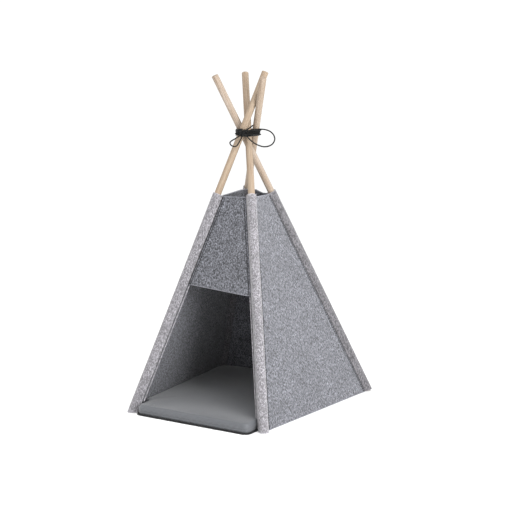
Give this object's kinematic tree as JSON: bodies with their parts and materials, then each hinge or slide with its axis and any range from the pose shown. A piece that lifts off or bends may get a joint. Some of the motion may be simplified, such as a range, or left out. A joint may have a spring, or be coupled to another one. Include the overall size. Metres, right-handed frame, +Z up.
{
  "type": "teepee tent",
  "caption": "Small felt teepee tent on lashed wooden poles, with an open doorway and a thin floor cushion for a pet to lie on.",
  "frame": {"origin": "on the floor, midway between the four pole feet", "axes": "+Z up, -Y towards the doorway, +X to the right seen from the doorway"},
  "size_m": [0.4347, 0.5028, 0.7758],
  "materials": {
    "wood": "sanded, unvarnished pale dowel",
    "sleeve_felt": "pressed felt, light heathered grey",
    "wall_felt": "pressed felt, heathered mid grey",
    "cushion_fabric": "smooth dark grey woven cover",
    "nonslip_fabric": "matt black non-slip cloth",
    "foam": "open-cell foam",
    "zip_tape": "woven zip tape with nylon teeth",
    "zip_metal": "dull nickel plated",
    "black_cord": "round braided elastic cord"
  },
  "bodies": {
    "base": {"cushion_base": "nonslip_fabric", "cushion_cover": "cushion_fabric", "cushion_core": "foam", "cushion_zip": "zip_tape", "panel_front": "wall_felt", "panel_back": "wall_felt", "lashing_wrap": "black_cord", "lashing_knot": "black_cord", "bow_loop_left": "black_cord", "bow_loop_right": "black_cord", "knot_tail": "black_cord"},
    "left_side": {"panel_left": "wall_felt", "sleeve_front_left": "sleeve_felt", "sleeve_back_left": "sleeve_felt"},
    "right_side": {"panel_right": "wall_felt", "sleeve_front_right": "sleeve_felt", "sleeve_back_right": "sleeve_felt"},
    "zip_slider": {"zip_slider": "zip_metal"},
    "pole_front_left": {"pole_front_left": "wood"},
    "pole_front_right": {"pole_front_right": "wood"},
    "pole_back_right": {"pole_back_right": "wood"},
    "pole_back_left": {"pole_back_left": "wood"}
  },
  "joints": [
    {"name": "fold_left", "type": "hinge", "parent": "base", "child": "left_side", "pos_m": [0, 0, 0.645], "axis": [0, -1, 0], "range_deg": [0, 8.5], "deforming": ["panel_front", "panel_back", "cushion_cover", "cushion_core", "cushion_base", "cushion_zip", "lashing_wrap"]},
    {"name": "fold_right", "type": "hinge", "parent": "base", "child": "right_side", "pos_m": [0, 0, 0.645], "axis": [0, 1, 0], "range_deg": [0, 8.5]},
    {"name": "draw_front_left", "type": "slide", "parent": "left_side", "child": "pole_front_left", "axis": [0.245, 0.3021, 0.9213], "range_m": [0, 0.5]},
    {"name": "draw_front_right", "type": "slide", "parent": "right_side", "child": "pole_front_right", "axis": [-0.2436, 0.3255, 0.9136], "range_m": [0, 0.5]},
    {"name": "draw_back_right", "type": "slide", "parent": "right_side", "child": "pole_back_right", "axis": [-0.3151, -0.3202, 0.8934], "range_m": [0, 0.5]},
    {"name": "draw_back_left", "type": "slide", "parent": "left_side", "child": "pole_back_left", "axis": [0.3114, -0.2943, 0.9036], "range_m": [0, 0.5]},
    {"name": "zip_slide", "type": "slide", "parent": "base", "child": "zip_slider", "axis": [-1, 0, 0], "range_m": [0, 0.15]}
  ],
  "couplings": [
    {"joint": "fold_right", "follows": "fold_left", "ratio": 1}
  ]
}
